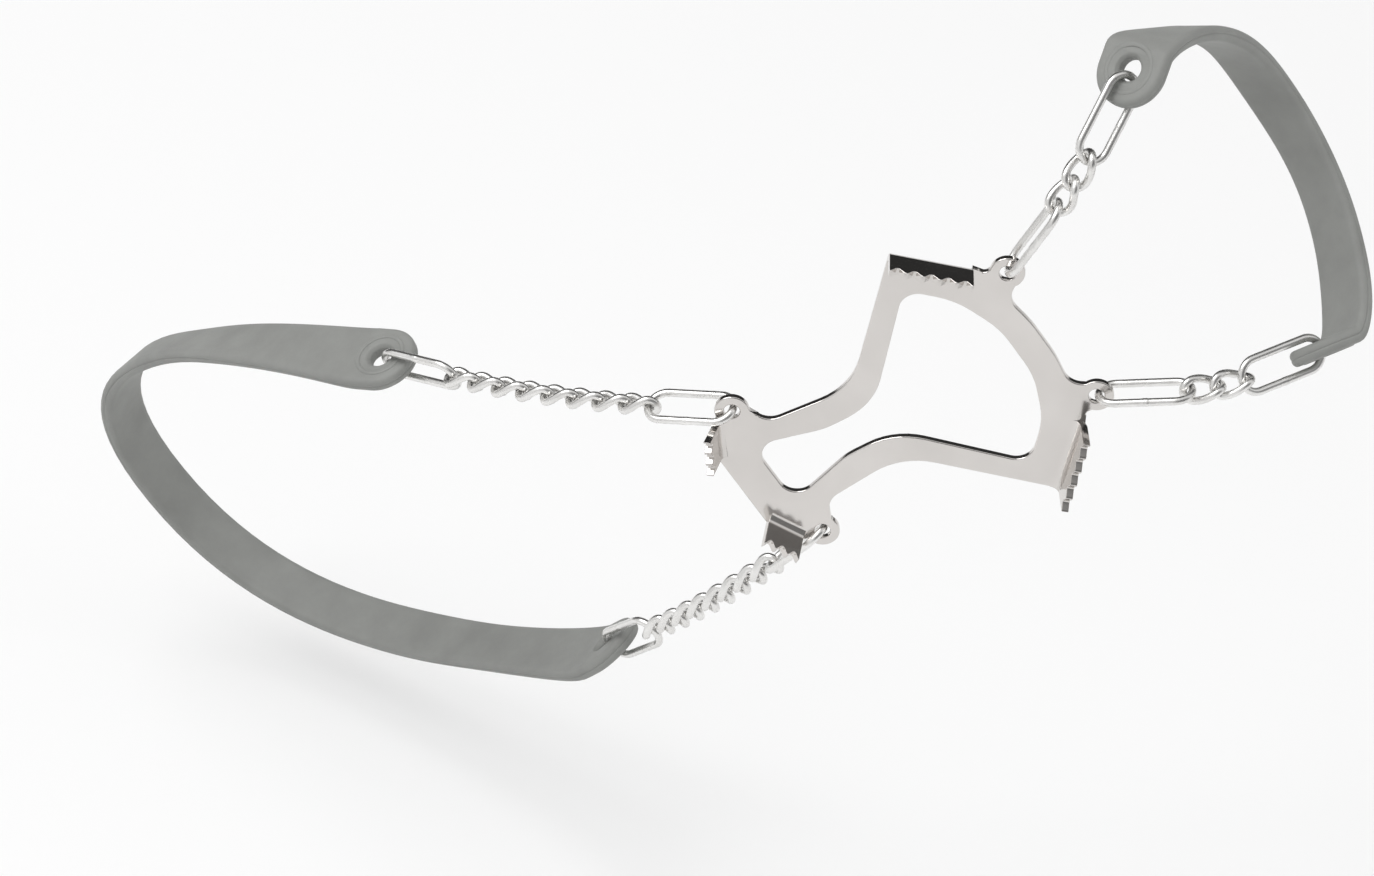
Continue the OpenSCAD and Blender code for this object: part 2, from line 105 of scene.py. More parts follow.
for turn, stretch in SCRATCH_LAYERS:
    row = 220 - 300 * len(layers)
    laid = place_node(scratched, "ShaderNodeMapping", (-650, row), Rotation=(0.3 * turn, 0.2, turn),
                      Scale=stretch)
    lines = place_node(scratched, "ShaderNodeTexNoise", (-420, row), Detail=3.0, Roughness=0.6)
    cut = place_node(scratched, "ShaderNodeMapRange", (-200, row), From_Min=0.58, From_Max=0.72)
    scratched.links.new(group_in.outputs["Vector"], laid.inputs["Vector"])
    scratched.links.new(laid.outputs["Vector"], lines.inputs["Vector"])
    scratched.links.new(group_in.outputs["Scratch Scale"], lines.inputs["Scale"])
    scratched.links.new(lines.outputs["Fac"], cut.inputs["Value"])
    layers.append(cut.outputs["Result"])
both = place_node(scratched, "ShaderNodeMath", (40, 150))
both.operation = "MAXIMUM"
every = place_node(scratched, "ShaderNodeMath", (220, 100))
every.operation = "MAXIMUM"
clouds = place_node(scratched, "ShaderNodeTexNoise", (40, -300), Detail=4.0, Roughness=0.55)
scratched.links.new(layers[0], both.inputs[0])
scratched.links.new(layers[1], both.inputs[1])
scratched.links.new(both.outputs["Value"], every.inputs[0])
scratched.links.new(layers[2], every.inputs[1])
scratched.links.new(group_in.outputs["Vector"], clouds.inputs["Vector"])
scratched.links.new(group_in.outputs["Cloud Scale"], clouds.inputs["Scale"])
scratched.links.new(every.outputs["Value"], group_out.inputs["Scratches"])
scratched.links.new(clouds.outputs["Fac"], group_out.inputs["Clouds"])


def metal(name, grey, pale, smooth_to_rough, scratch_scale, cloud_scale, bump, scratch_matt):
    """A bare metal with cloudy colour, and fine scratches in its gloss and its surface."""
    made, tree, shader, where = new_material(name)
    shader.inputs["Metallic"].default_value = 1.0
    marks = place_node(tree, "ShaderNodeGroup", (-1050, 0))
    marks.node_tree = scratched
    marks.inputs["Scratch Scale"].default_value = scratch_scale
    marks.inputs["Cloud Scale"].default_value = cloud_scale
    tint = place_node(tree, "ShaderNodeMix", (-650, 250))
    tint.data_type = "RGBA"
    tint.inputs["A"].default_value = grey
    tint.inputs["B"].default_value = pale
    spread = place_node(tree, "ShaderNodeMapRange", (-850, 250), From_Min=0.3, From_Max=0.7)
    gloss = place_node(tree, "ShaderNodeMapRange", (-650, -50), To_Min=smooth_to_rough[0],
                       To_Max=smooth_to_rough[1])
    worn = place_node(tree, "ShaderNodeMath", (-450, -50))
    worn.operation = "MULTIPLY_ADD"
    worn.inputs[1].default_value = scratch_matt
    relief = place_node(tree, "ShaderNodeBump", (-450, -350), Strength=bump, Distance=0.0001)
    tree.links.new(where, marks.inputs["Vector"])
    tree.links.new(marks.outputs["Clouds"], spread.inputs["Value"])
    tree.links.new(spread.outputs["Result"], tint.inputs["Factor"])
    tree.links.new(tint.outputs["Result"], shader.inputs["Base Color"])
    tree.links.new(marks.outputs["Clouds"], gloss.inputs["Value"])
    tree.links.new(marks.outputs["Scratches"], worn.inputs[0])
    tree.links.new(gloss.outputs["Result"], worn.inputs[2])
    tree.links.new(worn.outputs["Value"], shader.inputs["Roughness"])
    tree.links.new(marks.outputs["Scratches"], relief.inputs["Height"])
    tree.links.new(relief.outputs["Normal"], shader.inputs["Normal"])
    return made


def finished(name, bm, material, sharp_degrees):
    """An object from a bmesh, smooth but for its sharp edges."""
    mesh = bpy.data.meshes.new(name)
    for face in bm.faces:
        face.smooth = True
    bm.to_mesh(mesh)
    bm.free()
    mesh.set_sharp_from_angle(angle=math.radians(sharp_degrees))
    mesh.materials.clear()
    mesh.materials.append(material)
    made = bpy.data.objects.new(name, mesh)
    bpy.context.scene.collection.objects.link(made)
    return made


def hard_edges(bm):
    """The edges where two faces meet at a clear angle."""
    return [e for e in bm.edges if e.is_manifold and e.calc_face_angle() > math.radians(HARD_DEGREES)]


def lies_in_sheet(edge):
    """True for an edge of the flat sheet's upper or lower face."""
    heights = [v.co.z / MM for v in edge.verts]
    return all(min(abs(z), abs(z + SHEET_T)) < LEVEL_WITHIN for z in heights)


plate_steel = metal("stamped_steel", STEEL_GREY, STEEL_PALE, smooth_to_rough=(0.1, 0.17),
                    scratch_scale=700.0, cloud_scale=45.0, bump=0.025, scratch_matt=0.03)
bm = bmesh.new()
bm.from_mesh(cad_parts["traction_plate"].data)
bmesh.ops.remove_doubles(bm, verts=bm.verts, dist=SHORT_EDGE * MM)
bmesh.ops.dissolve_degenerate(bm, dist=SHORT_EDGE * MM, edges=bm.edges)
bmesh.ops.dissolve_limit(bm, angle_limit=math.radians(FLAT_DEGREES), verts=bm.verts, edges=bm.edges)

# Outer edges are rounded, but not close to the inner corners where a tab leaves the sheet
notches = [v.co.copy() for e in hard_edges(bm) if not e.is_convex for v in e.verts
           if v.co.z > -ROOT_DEPTH * MM]
for in_sheet, offset in ((False, TOOTH_ROUND), (True, RIM_ROUND)):
    rounded = [e for e in hard_edges(bm) if e.is_convex and lies_in_sheet(e) == in_sheet
               and all((v.co - notch).length > NOTCH_CLEAR * MM for v in e.verts for notch in notches)]
    bmesh.ops.bevel(bm, geom=rounded, offset=offset * MM, offset_type="OFFSET", affect="EDGES",
                    segments=ROUND_STEPS, profile=0.5, material=-1, clamp_overlap=False)
plate = finished("toothed_plate", bm, plate_steel, SHARP_DEGREES)
flats = plate.modifiers.new("flat_faces", "WEIGHTED_NORMAL")
flats.keep_sharp = True
flats.weight = FLAT_WEIGHT
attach(plate, "traction_plate")
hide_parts("traction_plate")

# Chains: links of polished steel wire, 1.8 mm thick. Each chain has a long straight link at both
# ends, with a butt weld on one leg, and short links between them that were closed and then
# twisted a quarter turn so that they lie flat. Left and right chains are cut from the same stock.
WIRE_R = 0.9
CHAIN_PLAY = 0.25
LONG_SPAN, LONG_BOW = 20.3, 3.75
SHORT_SPAN, SHORT_BOW = 8.65, 2.4
WIRE_SIDES, SHORT_STEPS, LONG_STEPS, SLOPE_STEP = 16, 60, 84, 0.05
WELD_SWELL, WELD_LENGTH, WELD_CLEAR, WELD_STEPS = 0.11, 0.55, 1.21, 4
SEAM_DEPTH, SEAM_NARROW = 0.75, 12
EAR_X, EAR_Y, EAR_HOLE_R = 35.0, 18.6, 1.75
# Degrees: heading away from straight on, and the climb and lean of the first and the last link
CHAINS = {
    "front": dict(forward=1, links=4, heading=27, climb=(-2, 31), lean=(0, -20)),
    "rear": dict(forward=-1, links=10, heading=20, climb=(20, 34), lean=(15, 14)),
}
WIRE_GREY = (0.74, 0.73, 0.715, 1)
WIRE_BRIGHT = (0.86, 0.855, 0.84, 1)
UP = Vector((0, 0, 1))


def eased(s):
    """A share from 0 to 1 that starts and ends gently."""
    return s * s * (3 - 2 * s)


def heading_of(chain, i):
    """Level heading of a left-hand link, and its direction with the climb."""
    a = math.radians(chain["heading"])
    level = Vector((chain["forward"] * math.cos(a), math.sin(a), 0))
    low, high = chain["climb"]
    c = math.radians(low + (high - low) * i / (chain["links"] - 1))
    return level, level * math.cos(c) + UP * math.sin(c)


def link_places(chain):
    """Start, direction and span of every left-hand link, from the ear to the strap."""
    level = heading_of(chain, 0)[0]
    tilt = math.radians(abs(chain["climb"][0]))
    reach = SHEET_T / 2 + LONG_BOW * math.sin(tilt)
    seat = LONG_BOW * math.cos(tilt) - math.sqrt((LONG_BOW - WIRE_R - CHAIN_PLAY) ** 2 - reach ** 2)
    start = Vector((chain["forward"] * EAR_X, EAR_Y, -SHEET_T / 2)) + level * (EAR_HOLE_R - seat)
    places = []
    for i in range(chain["links"]):
        way = heading_of(chain, i)[1]
        if i > 0:
            before = places[-1]
            start = before[0] + before[1] * before[2]
            start = start - (2 * WIRE_R + CHAIN_PLAY) * (before[1] + way).normalized()
        span = LONG_SPAN if i in (0, chain["links"] - 1) else SHORT_SPAN
        places.append((start, way, span))
    return places


def link_frame(chain, i, place, side):
    """Matrix that carries a link drawn along X to its place on the left (1) or right (-1) side."""
    start, way, _ = place
    start = Vector((start.x, start.y * side, start.z))
    way = Vector((way.x, way.y * side, way.z))
    level = way.cross(UP).normalized()
    up = level.cross(way)
    first, last = chain["lean"]
    lean = first + (last - first) * i / (chain["links"] - 1)
    a = math.radians(side * lean + (0 if i == 0 else 90))
    across = up * math.cos(a) + level * math.sin(a)
    return framed(start, way, across)


def framed(at, x_axis, y_axis):
    """Matrix of a place and two axes at right angles, with the third axis worked out."""
    z_axis = x_axis.cross(y_axis)
    return Matrix((
        (x_axis.x, y_axis.x, z_axis.x, at.x),
        (x_axis.y, y_axis.y, z_axis.y, at.y),
        (x_axis.z, y_axis.z, z_axis.z, at.z),
        (0, 0, 0, 1),
    ))


def loop_point(span, bow, twist, d):
    """Point on a link's middle line at a distance d round it, with the quarter turn of its twist."""
    run, half = span - 2 * bow, math.pi * bow
    d = d % (2 * (run + half))
    if d < half:
        a = d / bow
        x, y = bow - bow * math.sin(a), bow * math.cos(a)
    elif d < half + run:
        x, y = bow + d - half, -bow
    elif d < 2 * half + run:
        a = (d - half - run) / bow
        x, y = bow + run + bow * math.sin(a), -bow * math.cos(a)
    else:
        x, y = bow + run - (d - 2 * half - run), bow
    a = twist * eased(x / span)
    return Vector((x, y * math.cos(a), y * math.sin(a))), Vector((0, -math.sin(a), math.cos(a)))


def swept_loop(bm, ring, stations):
    """Carries a ring of edges along stations by repeated extrusion, and joins its ends to a loop."""
    first = ring
    for a, b in zip(stations, stations[1:]):
        made = bmesh.ops.extrude_edge_only(bm, edges=ring)["geom"]
        moved = [g for g in made if isinstance(g, bmesh.types.BMVert)]
        bmesh.ops.transform(bm, matrix=b @ a.inverted(), verts=moved)
        ring = [g for g in made if isinstance(g, bmesh.types.BMEdge)]
    bmesh.ops.bridge_loops(bm, edges=first + ring)
    bmesh.ops.recalc_face_normals(bm, faces=bm.faces)


def wire_link(name, span, bow, twist, steps, weld_at=None):
    """Mesh of one link along X, in millimetres, of round wire bent into a loop."""
    length = 2 * (span - 2 * bow + math.pi * bow)
    marks = [length * k / steps for k in range(steps)]
    if weld_at is not None:
        marks = [d for d in marks if abs(d - weld_at) > WELD_CLEAR]
        marks += [weld_at + WELD_LENGTH * k / 2 for k in range(-WELD_STEPS, WELD_STEPS + 1)]
        marks.sort()
    stations = []
    for d in marks:
        at, broad = loop_point(span, bow, twist, d)
        before, after = (loop_point(span, bow, twist, d + off)[0] for off in (-SLOPE_STEP, SLOPE_STEP))
        way = (after - before).normalized()
        side = broad.cross(way).normalized()
        swell = 1.0
        if weld_at is not None:
            off = (d - weld_at) / WELD_LENGTH
            swell += WELD_SWELL * (math.exp(-off * off) - SEAM_DEPTH * math.exp(-SEAM_NARROW * off * off))
        stations.append(framed(at, side, way.cross(side)) @ Matrix.Diagonal((swell, swell, 1, 1)))
    bm = bmesh.new()
    bmesh.ops.create_circle(bm, segments=WIRE_SIDES, radius=WIRE_R, matrix=stations[0])
    swept_loop(bm, bm.edges[:], stations)
    for face in bm.faces:
        face.smooth = True
    mesh = bpy.data.meshes.new(name)
    bm.to_mesh(mesh)
    bm.free()
    return mesh


chain_steel = metal("polished_wire", WIRE_GREY, WIRE_BRIGHT, smooth_to_rough=(0.23, 0.32),
                    scratch_scale=1500.0, cloud_scale=160.0, bump=0.012, scratch_matt=0.02)
half_leg = math.pi * LONG_BOW + (LONG_SPAN - 2 * LONG_BOW) / 2
short_link = wire_link("short_link", SHORT_SPAN, SHORT_BOW, -math.pi / 2, SHORT_STEPS)
long_link = wire_link("long_link", LONG_SPAN, LONG_BOW, 0.0, LONG_STEPS, half_leg)
for end, chain in CHAINS.items():
    places = link_places(chain)
    for side, word in ((1, "left"), (-1, "right")):
        for i, place in enumerate(places):
            is_long = place[2] == LONG_SPAN
            mesh = (long_link if is_long else short_link).copy()
            mesh.transform(Matrix.Scale(MM, 4) @ link_frame(chain, i, place, side))
            mesh.materials.append(chain_steel)
            link = bpy.data.objects.new(f"{end}_{word}_wire_{i + 1}", mesh)
            bpy.context.scene.collection.objects.link(link)
            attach(link, f"{end}_links_{i + 1}")
            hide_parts(f"{end}_{word}_link_{i + 1}")
for mesh in (short_link, long_link):
    bpy.data.meshes.remove(mesh)

# Straps: moulded grey rubber, one over the toe and one round the heel. Each is one flat band that
# ends in round tabs, with a parting line along its edges, and a ridge round the hole in each tab
# that takes the chain.
TAB_R, TAB_T, TAB_HOLE_R, HOLE_FLARE = 8.2, 3.6, 2.6, 0.8
# The lip of a hole: out from the hole's wall, and up from the foot of its flare
LIP = ((0, -0.3), (0.04, -0.08), (0.16, 0.13), (0.68, 0.65), (0.82, 0.745), (0.95, 0.785), (1.3, 0.95))
CUT_PAST, HOLE_STEPS = 0.4, 64
RIDGE_R, RIDGE_BROAD, RIDGE_SUNK, RIDGE_STEPS = 5.4, 0.55, 0.05, 6
BAND_T, BAND_END_W, BAND_ROUND = 3.4, 2 * TAB_R, 1.2
EDGE_LOOP, PARTING_BROAD, PARTING_DEEP = 1.8, 0.2, 0.14
BAND_START, BAND_STEPS, WIDTH_SETTLES, THICK_SETTLES = 4.0, 40, 1 / 2, 1 / 6
TAB_FROM, TAB_STEPS, SWING = 0.35, 26, 10
SAME_POINT, SAME_SEAM, STRAP_SHARP_DEGREES = 0.002, 0.01, 40
# Droop, turn and lean in degrees. The middle of the band lies at reach and rise from the hole. The
# band leaves both ends straight, by the lengths in pull, and swings out between them towards a handle
# at the shares in side. It takes its middle's lean over the share in roll
STRAPS = {
    "toe_strap": dict(chain="front", droop=39, turn=-9, lean=28, reach=10.2, rise=40.6, width=13.0,
                      pull=(4.5, 20), side=(1.35, 0.68, 0.58), roll=1.0, ridge=0.15),
    "heel_strap": dict(chain="rear", droop=14, turn=-9, lean=42, reach=103.0, rise=82.6, width=12.0,
                       pull=(8, 58), side=(0.44, 1.12, 0.47), roll=0.6, ridge=0.3),
}
RUBBER_DARK = (0.242, 0.246, 0.235, 1)
RUBBER_PALE = (0.285, 0.29, 0.277, 1)


def rubber_material():
    """Matt moulded rubber with a fine grain, faint clouds and shallow swells."""
    made, tree, shader, where = new_material("moulded_rubber")
    shader.inputs["Specular IOR Level"].default_value = 0.35
    clouds = place_node(tree, "ShaderNodeTexNoise", (-1050, 250), Scale=85.0, Detail=5.0, Roughness=0.6)
    spread = place_node(tree, "ShaderNodeMapRange", (-850, 250), From_Min=0.32, From_Max=0.68)
    tint = place_node(tree, "ShaderNodeMix", (-600, 250))
    tint.data_type = "RGBA"
    tint.inputs["A"].default_value = RUBBER_DARK
    tint.inputs["B"].default_value = RUBBER_PALE
    grain = place_node(tree, "ShaderNodeTexNoise", (-1050, -100), Scale=2600.0, Detail=2.0, Roughness=0.5)
    gloss = place_node(tree, "ShaderNodeMapRange", (-600, -50), To_Min=0.46, To_Max=0.66)
    swells = place_node(tree, "ShaderNodeTexNoise", (-1050, -400), Scale=120.0, Detail=2.0)
    fine = place_node(tree, "ShaderNodeBump", (-350, -300), Strength=0.09, Distance=0.0002)
    broad = place_node(tree, "ShaderNodeBump", (-600, -350), Strength=0.12, Distance=0.0008)
    for node in (clouds, grain, swells):
        tree.links.new(where, node.inputs["Vector"])
    tree.links.new(clouds.outputs["Fac"], spread.inputs["Value"])
    tree.links.new(spread.outputs["Result"], tint.inputs["Factor"])
    tree.links.new(tint.outputs["Result"], shader.inputs["Base Color"])
    tree.links.new(grain.outputs["Fac"], gloss.inputs["Value"])
    tree.links.new(gloss.outputs["Result"], shader.inputs["Roughness"])
    tree.links.new(swells.outputs["Fac"], broad.inputs["Height"])
    tree.links.new(grain.outputs["Fac"], fine.inputs["Height"])
    tree.links.new(broad.outputs["Normal"], fine.inputs["Normal"])
    tree.links.new(fine.outputs["Normal"], shader.inputs["Normal"])
    return made


def curve_point(handles, s):
    """Point at a share s of the smooth curve that its handles draw."""
    points = [Vector(p) for p in handles]
    while len(points) > 1:
        points = [a.lerp(b, s) for a, b in zip(points, points[1:])]
    return points[0]


def strap_path(spec):
    """Frame of the left round tab, and places along the band from its middle to that tab."""
    chain = CHAINS[spec["chain"]]
    start, way, span = link_places(chain)[-1]
    side = way.cross(UP).normalized()
    up = side.cross(way)
    droop = math.radians(spec["droop"])
    outward = -chain["forward"] * side * math.cos(droop) - up * math.sin(droop)
    seat = LONG_BOW + TAB_T * math.sin(math.radians(SWING)) / 2
    seat -= math.sqrt((LONG_BOW - WIRE_R - CHAIN_PLAY) ** 2 - (TAB_T / 2) ** 2)
    hole = start + way * (span + TAB_HOLE_R + HOLE_FLARE - seat)
    leave = Matrix.Rotation(math.radians(spec["turn"]), 3, outward) @ way
    middle = Vector((hole.x + chain["forward"] * spec["reach"], 0, hole.z + spec["rise"]))
    share = spec["side"]
    handles = [
        hole + leave * BAND_START,
        hole + leave * (BAND_START + spec["pull"][0]),
        Vector((hole.x + (middle.x - hole.x) * share[0], hole.y * share[1],
                hole.z + (middle.z - hole.z) * share[2])),
        middle + Vector((0, spec["pull"][1], 0)),
        middle,
    ]
    lean = math.radians(spec["lean"])
    top = Vector((math.sin(lean), 0, math.cos(lean)))
    if chain["forward"] < 0:
        top = Vector((-math.cos(lean), 0, math.sin(lean)))
    slopes = [b - a for a, b in zip(handles, handles[1:])]
    places = []
    for k in range(BAND_STEPS, -1, -1):
        s = k / BAND_STEPS
        at, along = curve_point(handles, s), curve_point(slopes, s).normalized()
        facing = outward.lerp(top, eased(min(1, s / spec["roll"])))
        facing = (facing - along * facing.dot(along)).normalized()
        width = BAND_END_W + (spec["width"] - BAND_END_W) * eased(min(1, s / WIDTH_SETTLES))
        thick = TAB_T + (BAND_T - TAB_T) * eased(min(1, s / THICK_SETTLES))
        places.append((at, facing.cross(along), facing, width, thick))
    return framed(hole, leave, outward.cross(leave)), places


def strap_half(bm, spec):
    """Draws the section at the strap's middle, then extrudes it along the band and round the tab."""
    tab, places = strap_path(spec)
    across, through = BAND_END_W / 2, BAND_T / 2
    right = [(across - EDGE_LOOP, -through), (across, -through), (across, -PARTING_BROAD),
             (across - PARTING_DEEP, 0), (across, PARTING_BROAD), (across, through),
             (across - EDGE_LOOP, through)]
    section = bm.verts.layers.float_vector.new("section")
    outline = [bm.verts.new((x, y, 0)) for x, y in right + [(-x, y) for x, y in reversed(right)]]
    corners = [outline[k] for k in (1, 5, -6, -2)]
    bm.faces.new(outline)
    bmesh.ops.bevel(bm, geom=corners, offset=BAND_ROUND, offset_type="OFFSET", affect="VERTICES",
                    segments=ROUND_STEPS, profile=0.5, material=-1)
    for v in bm.verts:
        v[section] = v.co
    bmesh.ops.delete(bm, geom=bm.faces[:], context="FACES_ONLY")
    ring = bm.edges[:]

    def on_band(v, place):
        """Place of a point of the section on the band, at the band's own width and thickness."""
        at, sideways, facing, width, thick = place
        x, y, _ = v[section]
        x += math.copysign(1, x) * (width - BAND_END_W) / 2
        return at + sideways * x + facing * y * thick / BAND_T

    def on_tab(v, d):
        """Place of a point of the section on the round tab, at a distance d past its middle."""
        x, y, _ = v[section]
        r = TAB_R - (across - abs(x))
        d = max(d, -r)
        wide = max(math.sqrt(r * r - d * d), abs(x) if d > 0 else 0)
        return tab @ Vector((d, math.copysign(wide, x), y * TAB_T / BAND_T))

    for v in bm.verts:
        v.co = on_band(v, places[0])
    turns = [TAB_FROM + (1 - TAB_FROM) * k / TAB_STEPS for k in range(TAB_STEPS + 1)]
    rounds = [TAB_R * math.cos(math.pi * turn) for turn in turns]
    steps = [(on_band, place) for place in places[1:]] + [(on_tab, d) for d in rounds]
    for move, step in steps:
        made = bmesh.ops.extrude_edge_only(bm, edges=ring)["geom"]
        for v in made:
            if isinstance(v, bmesh.types.BMVert):
                v.co = move(v, step)
        ring = [g for g in made if isinstance(g, bmesh.types.BMEdge)]
    bm.verts.layers.float_vector.remove(section)
    return tab


def turned_ring(bm, profile, place):
    """Spins a closed profile of [radius, height] points about a tab's hole."""
    before = set(bm.verts)
    ring = [bm.verts.new((r, 0, z)) for r, z in profile]
    edges = [bm.edges.new((a, b)) for a, b in zip(ring, ring[1:] + ring[:1])]
    bmesh.ops.spin(bm, geom=ring + edges, cent=(0, 0, 0), axis=(0, 0, 1), dvec=(0, 0, 0),
                   angle=2 * math.pi, steps=HOLE_STEPS, use_merge=True)
    bmesh.ops.transform(bm, matrix=place, verts=[v for v in bm.verts if v not in before])


def mirrored_whole(bm):
    """Completes a left half, in millimetres, with its right half."""
    bmesh.ops.remove_doubles(bm, verts=bm.verts, dist=SAME_POINT)
    bmesh.ops.mirror(bm, geom=bm.verts[:] + bm.edges[:] + bm.faces[:], matrix=Matrix.Identity(4),
                     merge_dist=SAME_SEAM, axis="Y")
    bmesh.ops.recalc_face_normals(bm, faces=bm.faces)


strap_rubber = rubber_material()
for name, spec in STRAPS.items():
    bm = bmesh.new()
    tab = strap_half(bm, spec)
    mirrored_whole(bm)
    solid = finished(name + "_solid", bm, strap_rubber, STRAP_SHARP_DEGREES)

    # The holes flare with a soft lip on both faces, and are cut through the solid strap
    half = TAB_T / 2
    upper = [(TAB_HOLE_R + out, half - HOLE_FLARE + up) for out, up in LIP] + [(0, half + CUT_PAST)]
    bm = bmesh.new()
    turned_ring(bm, [(r, -z) for r, z in reversed(upper)] + upper, tab)
    mirrored_whole(bm)
    cutter = finished("hole_cutter", bm, strap_rubber, STRAP_SHARP_DEGREES)
    cut = solid.modifiers.new("holes", "BOOLEAN")
    cut.operation = "DIFFERENCE"
    cut.solver = "EXACT"
    cut.object = cutter
    bpy.context.view_layer.update()
    drilled = bpy.data.meshes.new_from_object(solid.evaluated_get(bpy.context.evaluated_depsgraph_get()))
    for spare in (solid, cutter):
        spare_mesh = spare.data
        bpy.data.objects.remove(spare)
        bpy.data.meshes.remove(spare_mesh)

    # The ridge stands on the tab's outer face, a little sunk into it
    bm = bmesh.new()
    crown = spec["ridge"] + RIDGE_SUNK
    ridge = [(RIDGE_R + RIDGE_BROAD * math.cos(a), half - RIDGE_SUNK + crown * math.sin(a))
             for a in (math.pi * k / RIDGE_STEPS for k in range(RIDGE_STEPS + 1))]
    turned_ring(bm, ridge, tab)
    mirrored_whole(bm)
    bm.from_mesh(drilled)
    bpy.data.meshes.remove(drilled)
    bmesh.ops.scale(bm, vec=(MM, MM, MM), verts=bm.verts)
    strap = finished(name + "_rubber", bm, strap_rubber, STRAP_SHARP_DEGREES)
    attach(strap, name)
    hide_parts(name)

# Studio: the camera looks up at the plate's lower face, as in the photograph. A pale floor, which
# shows on its upper side only, takes the shadow, and a soft key lamp and a weak fill give the light.
PHOTO_WIDTH, FOCAL_PIXELS, SENSOR = 1374, 7000, 36.0
CAMERA_AT = Vector((0.471594, -0.724976, -1.249990))
LOOK_RIGHT = Vector((0.840985, 0.539273, 0.043905))
LOOK_DOWN = Vector((-0.420911, 0.703067, -0.573176))
LOOK_AHEAD = Vector((-0.339967, 0.463552, 0.818255))
camera_data = bpy.data.cameras.new("camera")
camera_data.sensor_fit = "HORIZONTAL"
camera_data.sensor_width = SENSOR
camera_data.lens = SENSOR * FOCAL_PIXELS / PHOTO_WIDTH
camera_data.clip_start, camera_data.clip_end = 0.05, 30.0
camera = bpy.data.objects.new("camera", camera_data)
camera.matrix_world = framed(CAMERA_AT, LOOK_RIGHT, -LOOK_DOWN)
bpy.context.scene.collection.objects.link(camera)
bpy.context.scene.camera = camera

FLOOR_TILT, FLOOR_REACH, FLOOR_WHITE = math.radians(38), 12.0, 0.4
floor_up = -LOOK_DOWN * math.cos(FLOOR_TILT) - LOOK_AHEAD * math.sin(FLOOR_TILT)
floor_side = LOOK_RIGHT.cross(floor_up).normalized()
lowest = min(Vector((x, y, z)).dot(floor_up) for x in (cad_low.x, cad_high.x)
             for y in (cad_low.y, cad_high.y) for z in (cad_low.z, cad_high.z))
floor_mesh = bpy.data.meshes.new("floor")
bm = bmesh.new()
bmesh.ops.create_grid(bm, x_segments=4, y_segments=4, size=FLOOR_REACH,
                      matrix=framed(floor_up * lowest, floor_side, floor_up.cross(floor_side)))
bm.to_mesh(floor_mesh)
bm.free()
floor = bpy.data.objects.new("floor", floor_mesh)
bpy.context.scene.collection.objects.link(floor)
pale = bpy.data.materials.new("pale_floor")
pale.use_nodes = True
tree = pale.node_tree
tree.nodes.clear()
out = place_node(tree, "ShaderNodeOutputMaterial", (400, 0))
matt = place_node(tree, "ShaderNodeBsdfDiffuse", (-500, 0), Color=(0.9, 0.9, 0.9, 1))
white = place_node(tree, "ShaderNodeEmission", (-500, -150), Color=(1, 1, 1, 1), Strength=1.0)
path = place_node(tree, "ShaderNodeLightPath", (-700, 300))
share = place_node(tree, "ShaderNodeMath", (-500, 200))
share.operation = "MULTIPLY"
share.inputs[1].default_value = FLOOR_WHITE
paler = place_node(tree, "ShaderNodeMixShader", (-250, 0))
clear = place_node(tree, "ShaderNodeBsdfTransparent", (-100, -150))
face_side = place_node(tree, "ShaderNodeNewGeometry", (-100, 250))
one_sided = place_node(tree, "ShaderNodeMixShader", (150, 0))
tree.links.new(path.outputs["Is Camera Ray"], share.inputs[0])
tree.links.new(share.outputs["Value"], paler.inputs["Fac"])
tree.links.new(matt.outputs["BSDF"], paler.inputs[1])
tree.links.new(white.outputs["Emission"], paler.inputs[2])
tree.links.new(face_side.outputs["Backfacing"], one_sided.inputs["Fac"])
tree.links.new(paler.outputs["Shader"], one_sided.inputs[1])
tree.links.new(clear.outputs["BSDF"], one_sided.inputs[2])
tree.links.new(one_sided.outputs["Shader"], out.inputs["Surface"])
floor_mesh.materials.append(pale)

# The room is white to the camera, and to the metal too, but for its ceiling and a patch beside the
# camera, which are dark and give the metal its contrast
SOFT_LIGHT, CEILING_DARK, PATCH_DARK = 0.62, 0.04, 0.26
CEILING_FROM, CEILING_FULL = 0.1, 0.6
PATCH_AT = Vector((0.6, 0.12, -0.79))
PATCH_EDGE, PATCH_FULL = math.radians(45), math.radians(30)
world = bpy.data.worlds.new("studio")
world.use_nodes = True
bpy.context.scene.world = world
tree = world.node_tree
tree.nodes.clear()
out = place_node(tree, "ShaderNodeOutputWorld", (700, 0))
path = place_node(tree, "ShaderNodeLightPath", (-400, 400))
seen = place_node(tree, "ShaderNodeBackground", (100, 200), Color=(1, 1, 1, 1), Strength=1.0)
soft = place_node(tree, "ShaderNodeBackground", (100, 0), Color=(1, 1, 1, 1), Strength=SOFT_LIGHT)
sky = place_node(tree, "ShaderNodeTexCoord", (-900, -250))
height = place_node(tree, "ShaderNodeSeparateXYZ", (-700, -250))
dark = place_node(tree, "ShaderNodeMapRange", (-500, -250), From_Min=CEILING_FROM,
                  From_Max=CEILING_FULL, To_Min=1.0, To_Max=CEILING_DARK)
dark.interpolation_type = "SMOOTHSTEP"
towards = place_node(tree, "ShaderNodeVectorMath", (-700, -450))
towards.operation = "DOT_PRODUCT"
towards.inputs[1].default_value = PATCH_AT.normalized()
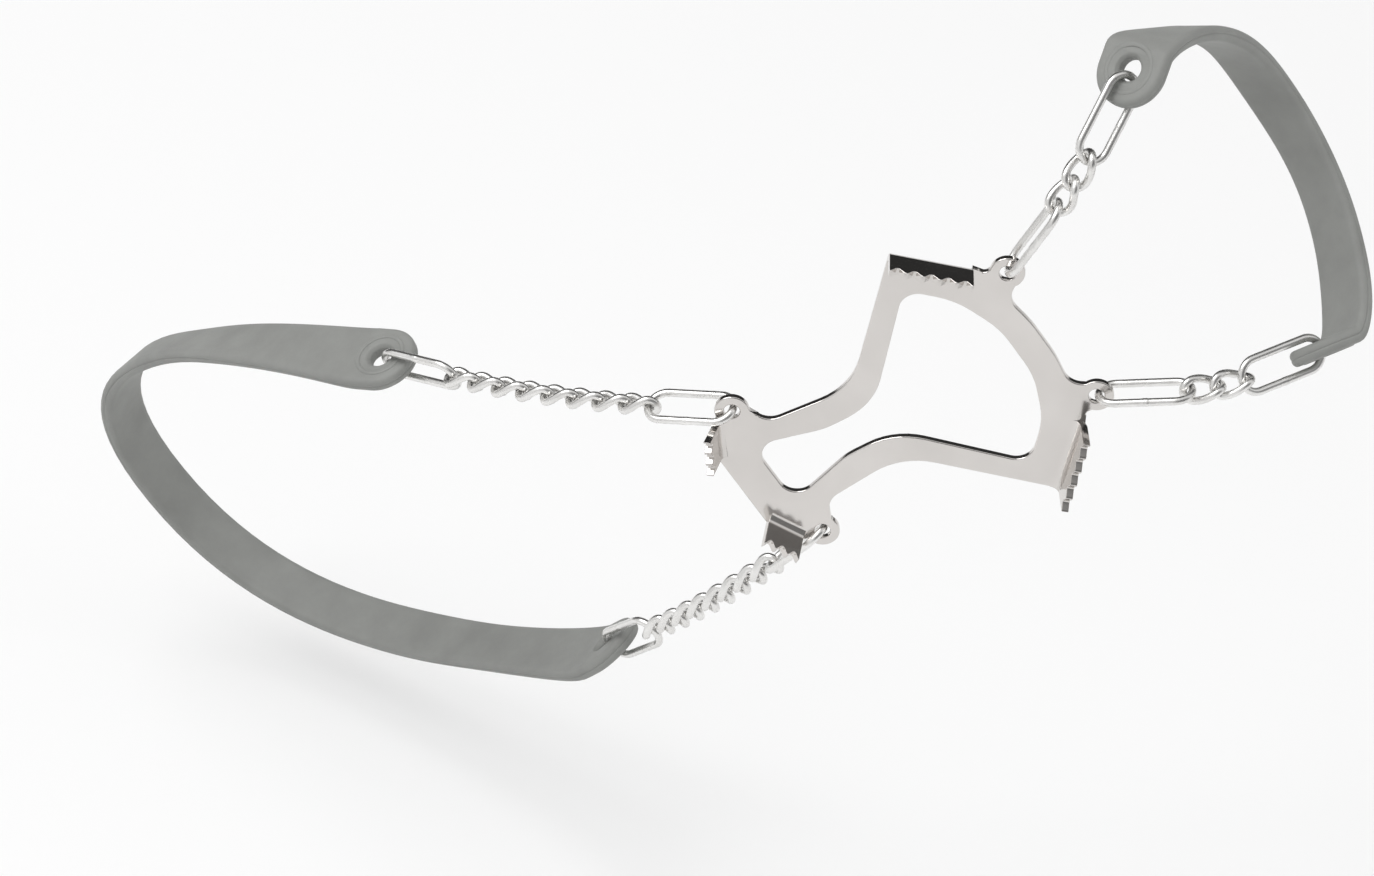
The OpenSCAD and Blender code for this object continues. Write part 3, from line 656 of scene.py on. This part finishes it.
dusk = place_node(tree, "ShaderNodeMapRange", (-500, -500), From_Min=math.cos(PATCH_EDGE),
                  From_Max=math.cos(PATCH_FULL), To_Min=1.0, To_Max=PATCH_DARK)
dusk.interpolation_type = "SMOOTHSTEP"
darkest = place_node(tree, "ShaderNodeMath", (-250, -350))
darkest.operation = "MINIMUM"
mirrored = place_node(tree, "ShaderNodeBackground", (100, -200))
glossy = place_node(tree, "ShaderNodeMixShader", (350, -50))
direct = place_node(tree, "ShaderNodeMixShader", (530, 50))
tree.links.new(sky.outputs["Generated"], height.inputs["Vector"])
tree.links.new(height.outputs["Z"], dark.inputs["Value"])
tree.links.new(sky.outputs["Generated"], towards.inputs[0])
tree.links.new(towards.outputs["Value"], dusk.inputs["Value"])
tree.links.new(dark.outputs["Result"], darkest.inputs[0])
tree.links.new(dusk.outputs["Result"], darkest.inputs[1])
tree.links.new(darkest.outputs["Value"], mirrored.inputs["Strength"])
tree.links.new(path.outputs["Is Glossy Ray"], glossy.inputs["Fac"])
tree.links.new(soft.outputs["Background"], glossy.inputs[1])
tree.links.new(mirrored.outputs["Background"], glossy.inputs[2])
tree.links.new(path.outputs["Is Camera Ray"], direct.inputs["Fac"])
tree.links.new(glossy.outputs["Shader"], direct.inputs[1])
tree.links.new(seen.outputs["Background"], direct.inputs[2])
tree.links.new(direct.outputs["Shader"], out.inputs["Surface"])


def lamp(name, towards, distance, size, watts):
    """A square soft lamp that faces the middle of the part."""
    data = bpy.data.lights.new(name, "AREA")
    data.size = size
    data.energy = watts
    made = bpy.data.objects.new(name, data)
    middle = (cad_low + cad_high) / 2
    facing = towards.to_track_quat("Z", "Y").to_matrix().to_4x4()
    made.matrix_world = Matrix.Translation(middle + towards.normalized() * distance) @ facing
    bpy.context.scene.collection.objects.link(made)
    return made


lamp("key", -LOOK_AHEAD - LOOK_DOWN * 1.1 - LOOK_RIGHT * 0.7, distance=1.6, size=1.1, watts=14.0)
fill = lamp("fill", -LOOK_AHEAD - LOOK_DOWN * 0.3 + LOOK_RIGHT * 1.2, distance=1.9, size=1.4, watts=5.0)
fill.visible_glossy = False

bpy.context.scene.view_settings.view_transform = "Standard"
